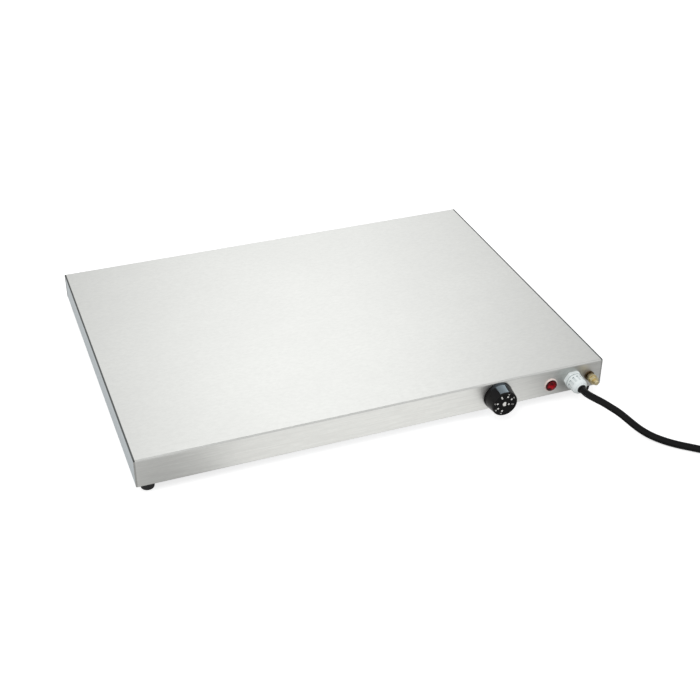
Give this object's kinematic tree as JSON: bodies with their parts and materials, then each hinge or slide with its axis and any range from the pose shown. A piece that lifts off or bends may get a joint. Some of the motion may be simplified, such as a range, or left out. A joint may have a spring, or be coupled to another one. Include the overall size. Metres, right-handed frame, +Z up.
{
  "type": "electric food warmer tray",
  "caption": "Flat stainless steel hot plate on rubber feet, with a thermostat knob, pilot lamp, cable gland and bonding terminal on its front skirt.",
  "frame": {"origin": "on the surface it stands on, under the middle of the whole tray's box without the mains lead, that is from the gland's mouth at the front to the rear skirt", "axes": "+X to the right seen from the front, along the longest side; +Y from the front skirt with the controls to the rear; +Z up"},
  "size_m": [0.83, 0.6747, 0.05],
  "materials": {
    "cover_steel": "satin brushed stainless steel",
    "end_steel": "satin stainless steel",
    "zinc_sheet": "galvanised sheet",
    "zinc_fastener": "zinc plated",
    "foot_rubber": "matt black rubber",
    "spreader": "mill finish",
    "element_sheath": "dark oxidised sheath",
    "ceramic": "unglazed ceramic",
    "cutout_case": "moulded black",
    "fibre_board": "pressed mineral fibre",
    "copper": "drawn copper",
    "knob_black": "glossy black",
    "dial_black": "black with white marks",
    "lamp_ring": "polished ring",
    "lamp_red": "translucent red",
    "lamp_white": "off-white moulding",
    "gland_grey": "light grey nylon",
    "seal_black": "soft black seal",
    "brass": "turned brass",
    "block_white": "off-white moulding",
    "core_brown": "smooth core insulation",
    "lead_white": "glass-fibre sleeved",
    "cord_black": "black sheath",
    "plug_black": "moulded black",
    "nickel": "nickel plated"
  },
  "bodies": {
    "tray": {"cover": "cover_steel", "left_end_panel": "end_steel", "right_end_panel": "end_steel", "base_plate": "zinc_sheet", "base_screws": "zinc_fastener", "foot_front_left": "foot_rubber", "foot_front_right": "foot_rubber", "foot_rear_left": "foot_rubber", "foot_rear_right": "foot_rubber", "foot_screws": "zinc_fastener", "foot_nuts": "zinc_fastener", "heat_spreader": "spreader", "heating_element": "element_sheath", "element_terminals": "ceramic", "element_clamps": "zinc_sheet", "clamp_studs": "zinc_fastener", "clamp_nuts": "zinc_fastener", "thermal_cutout": "cutout_case", "insulation_board": "fibre_board", "insulation_tray": "zinc_sheet", "tray_spacers": "zinc_fastener", "tray_screws": "zinc_fastener", "thermostat_body": "zinc_sheet", "thermostat_screws": "zinc_fastener", "thermostat_capillary": "copper", "thermostat_bulb": "copper", "bulb_clip": "zinc_sheet", "lamp_bezel": "lamp_ring", "lamp_lens": "lamp_red", "lamp_body": "lamp_white", "lamp_clip": "zinc_fastener", "gland_body": "gland_grey", "gland_seal": "seal_black", "gland_dome_nut": "gland_grey", "gland_locknut": "gland_grey", "bonding_bolt": "brass", "bonding_nuts": "brass", "bonding_washers": "brass", "earth_lug": "nickel", "terminal_block": "block_white", "terminal_screws": "zinc_fastener", "supply_cores": "core_brown", "control_leads": "lead_white", "heater_leads": "lead_white", "cord_inner_end": "cord_black", "power_cord": "cord_black", "cord_coil": "cord_black", "cord_tail": "cord_black", "plug_boot": "plug_black", "plug_body": "plug_black", "plug_pins": "nickel", "plug_earth_clips": "nickel"},
    "knob": {"thermostat_spindle": "nickel", "control_knob": "knob_black", "knob_dial": "dial_black"}
  },
  "joints": [
    {"name": "thermostat_turn", "type": "hinge", "parent": "tray", "child": "knob", "pos_m": [0.154, -0.2125, 0.03], "axis": [0, 1, 0], "range_deg": [-90, 180]}
  ]
}
